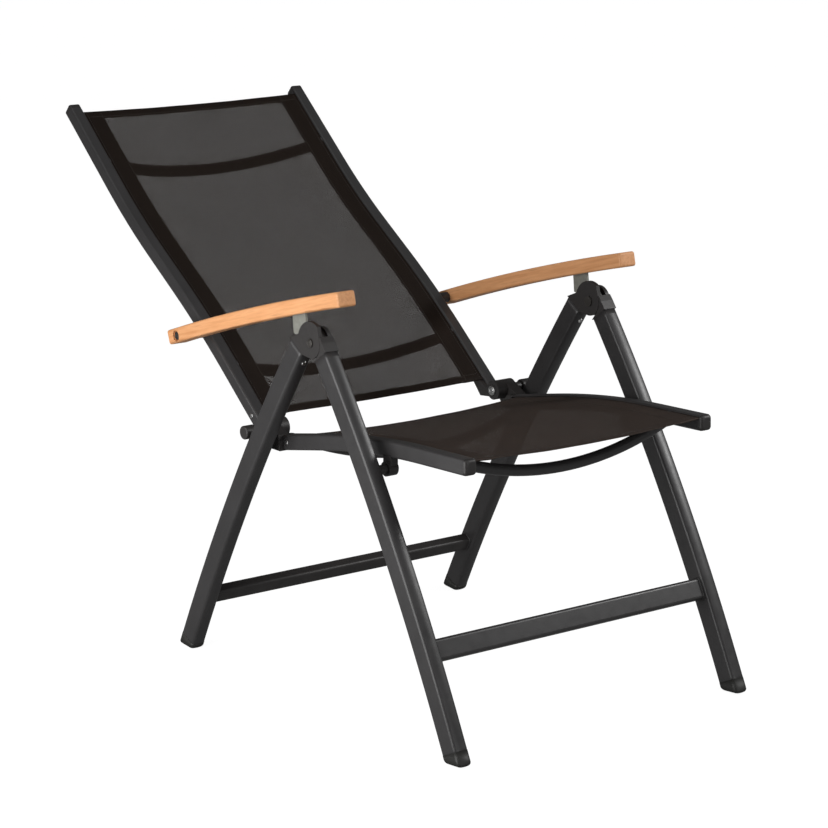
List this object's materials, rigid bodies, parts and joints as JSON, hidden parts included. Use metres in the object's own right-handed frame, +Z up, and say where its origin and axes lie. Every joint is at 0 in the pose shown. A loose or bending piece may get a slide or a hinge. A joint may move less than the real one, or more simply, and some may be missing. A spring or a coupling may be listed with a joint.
{
  "type": "reclining garden armchair",
  "caption": "Folding garden armchair with a reclining sling back, a sling seat on bowed tubes, crossed legs and wooden armrests.",
  "frame": {"origin": "on the floor under the middle of the chair's box, with the back reclined as in the picture", "axes": "+Z up, the chair faces -Y, its own left side is +X"},
  "size_m": [0.5896, 1.1696, 0.8584],
  "materials": {
    "powder_coat": "charcoal powder coat with a fine texture, satin",
    "hinge_plastic": "moulded black nylon, matte",
    "foot_plastic": "moulded black plastic, matte",
    "sling_fabric": "open woven coated polyester mesh, charcoal brown",
    "teak": "oiled teak, fine straight grain, rounded edges",
    "bracket_metal": "brushed flat aluminium",
    "steel": "bright zinc-plated steel",
    "dark_steel": "black coated steel, satin"
  },
  "bodies": {
    "front_frame": {"front_leg_left": "powder_coat", "front_leg_right": "powder_coat", "front_foot_cap_left": "foot_plastic", "front_foot_cap_right": "foot_plastic", "front_knuckle_left": "hinge_plastic", "front_knuckle_right": "hinge_plastic", "arm_bracket_left": "bracket_metal", "arm_bracket_right": "bracket_metal", "front_crossbar": "powder_coat", "bracket_pins": "steel", "top_hinge_bolts": "dark_steel", "seat_pivot_pins": "steel", "seat_pivot_spacers": "hinge_plastic", "front_knuckle_rivets": "steel"},
    "rear_frame": {"rear_leg_left": "hinge_plastic", "rear_leg_right": "hinge_plastic", "rear_foot_cap_left": "foot_plastic", "rear_foot_cap_right": "foot_plastic", "rear_knuckle_left": "hinge_plastic", "rear_knuckle_right": "hinge_plastic", "rear_crossbar": "hinge_plastic", "rear_knuckle_rivets": "steel"},
    "seat": {"seat_rail_left": "powder_coat", "seat_rail_right": "powder_coat", "seat_front_cap_left": "hinge_plastic", "seat_front_cap_right": "hinge_plastic", "seat_hinge_ear_left": "hinge_plastic", "seat_hinge_ear_right": "hinge_plastic", "seat_pivot_lug_left": "hinge_plastic", "seat_pivot_lug_right": "hinge_plastic", "seat_front_tube": "powder_coat", "seat_rear_tube": "hinge_plastic", "seat_sling": "sling_fabric", "seat_pivot_bushes": "hinge_plastic", "seat_rail_rivets": "steel"},
    "hinge_axles": {"hinge_axle_bolt_left": "steel", "hinge_axle_bolt_right": "steel", "hinge_roller_left": "hinge_plastic", "hinge_roller_right": "hinge_plastic"},
    "back": {"back_rail_left": "powder_coat", "back_rail_right": "powder_coat", "back_top_cap_left": "hinge_plastic", "back_top_cap_right": "hinge_plastic", "back_hinge_eye_left": "hinge_plastic", "back_hinge_eye_right": "hinge_plastic", "back_upper_tube": "powder_coat", "back_lower_tube": "powder_coat", "back_sling": "sling_fabric", "back_rail_rivets": "steel"},
    "arm_bolt_left": {"arm_pivot_bolt_left": "dark_steel"},
    "arm_sleeve_left": {"arm_spacer_left": "hinge_plastic"},
    "armrest_left": {"armrest_left": "teak", "arm_rack_left": "hinge_plastic"},
    "arm_bolt_right": {"arm_pivot_bolt_right": "dark_steel"},
    "arm_sleeve_right": {"arm_spacer_right": "hinge_plastic"},
    "armrest_right": {"armrest_right": "teak", "arm_rack_right": "hinge_plastic"}
  },
  "joints": [
    {"name": "fold", "type": "hinge", "parent": "front_frame", "child": "seat", "pos_m": [0, -0.34149, 0.4], "axis": [-1, 0, 0], "range_deg": [0, 88]},
    {"name": "leg_fold", "type": "hinge", "parent": "front_frame", "child": "rear_frame", "pos_m": [0, -0.21037, 0.577], "axis": [-1, 0, 0], "range_deg": [0, 58.6]},
    {"name": "axle_turn", "type": "hinge", "parent": "seat", "child": "hinge_axles", "pos_m": [0, -0.02702, 0.40211], "axis": [1, 0, 0], "range_deg": [0, 98.6]},
    {"name": "recline", "type": "hinge", "parent": "hinge_axles", "child": "back", "pos_m": [0, -0.02702, 0.40211], "axis": [1, 0, 0], "range_deg": [-0.5, 30]},
    {"name": "arm_fold_left", "type": "hinge", "parent": "back", "child": "arm_bolt_left", "pos_m": [0, 0.16133, 0.52774], "axis": [-1, 0, 0], "range_deg": [0, 121.5]},
    {"name": "arm_level_left", "type": "hinge", "parent": "arm_bolt_left", "child": "arm_sleeve_left", "pos_m": [0, 0.16133, 0.52774], "axis": [-1, 0, 0], "range_deg": [-0.3, 18]},
    {"name": "arm_lift_left", "type": "hinge", "parent": "arm_sleeve_left", "child": "armrest_left", "pos_m": [0, 0.16133, 0.52774], "axis": [-1, 0, 0], "range_deg": [0, 25]},
    {"name": "arm_fold_right", "type": "hinge", "parent": "back", "child": "arm_bolt_right", "pos_m": [0, 0.16133, 0.52774], "axis": [-1, 0, 0], "range_deg": [0, 121.5]},
    {"name": "arm_level_right", "type": "hinge", "parent": "arm_bolt_right", "child": "arm_sleeve_right", "pos_m": [0, 0.16133, 0.52774], "axis": [-1, 0, 0], "range_deg": [-0.3, 18]},
    {"name": "arm_lift_right", "type": "hinge", "parent": "arm_sleeve_right", "child": "armrest_right", "pos_m": [0, 0.16133, 0.52774], "axis": [-1, 0, 0], "range_deg": [0, 25]}
  ],
  "couplings": [
    {"joint": "leg_fold", "follows": "fold", "ratio": 0.665},
    {"joint": "axle_turn", "follows": "fold", "ratio": 1.12},
    {"joint": "arm_fold_left", "follows": "fold", "ratio": 1.38},
    {"joint": "arm_level_left", "follows": "recline", "ratio": 0.6},
    {"joint": "arm_fold_right", "follows": "fold", "ratio": 1.38},
    {"joint": "arm_level_right", "follows": "recline", "ratio": 0.6}
  ]
}
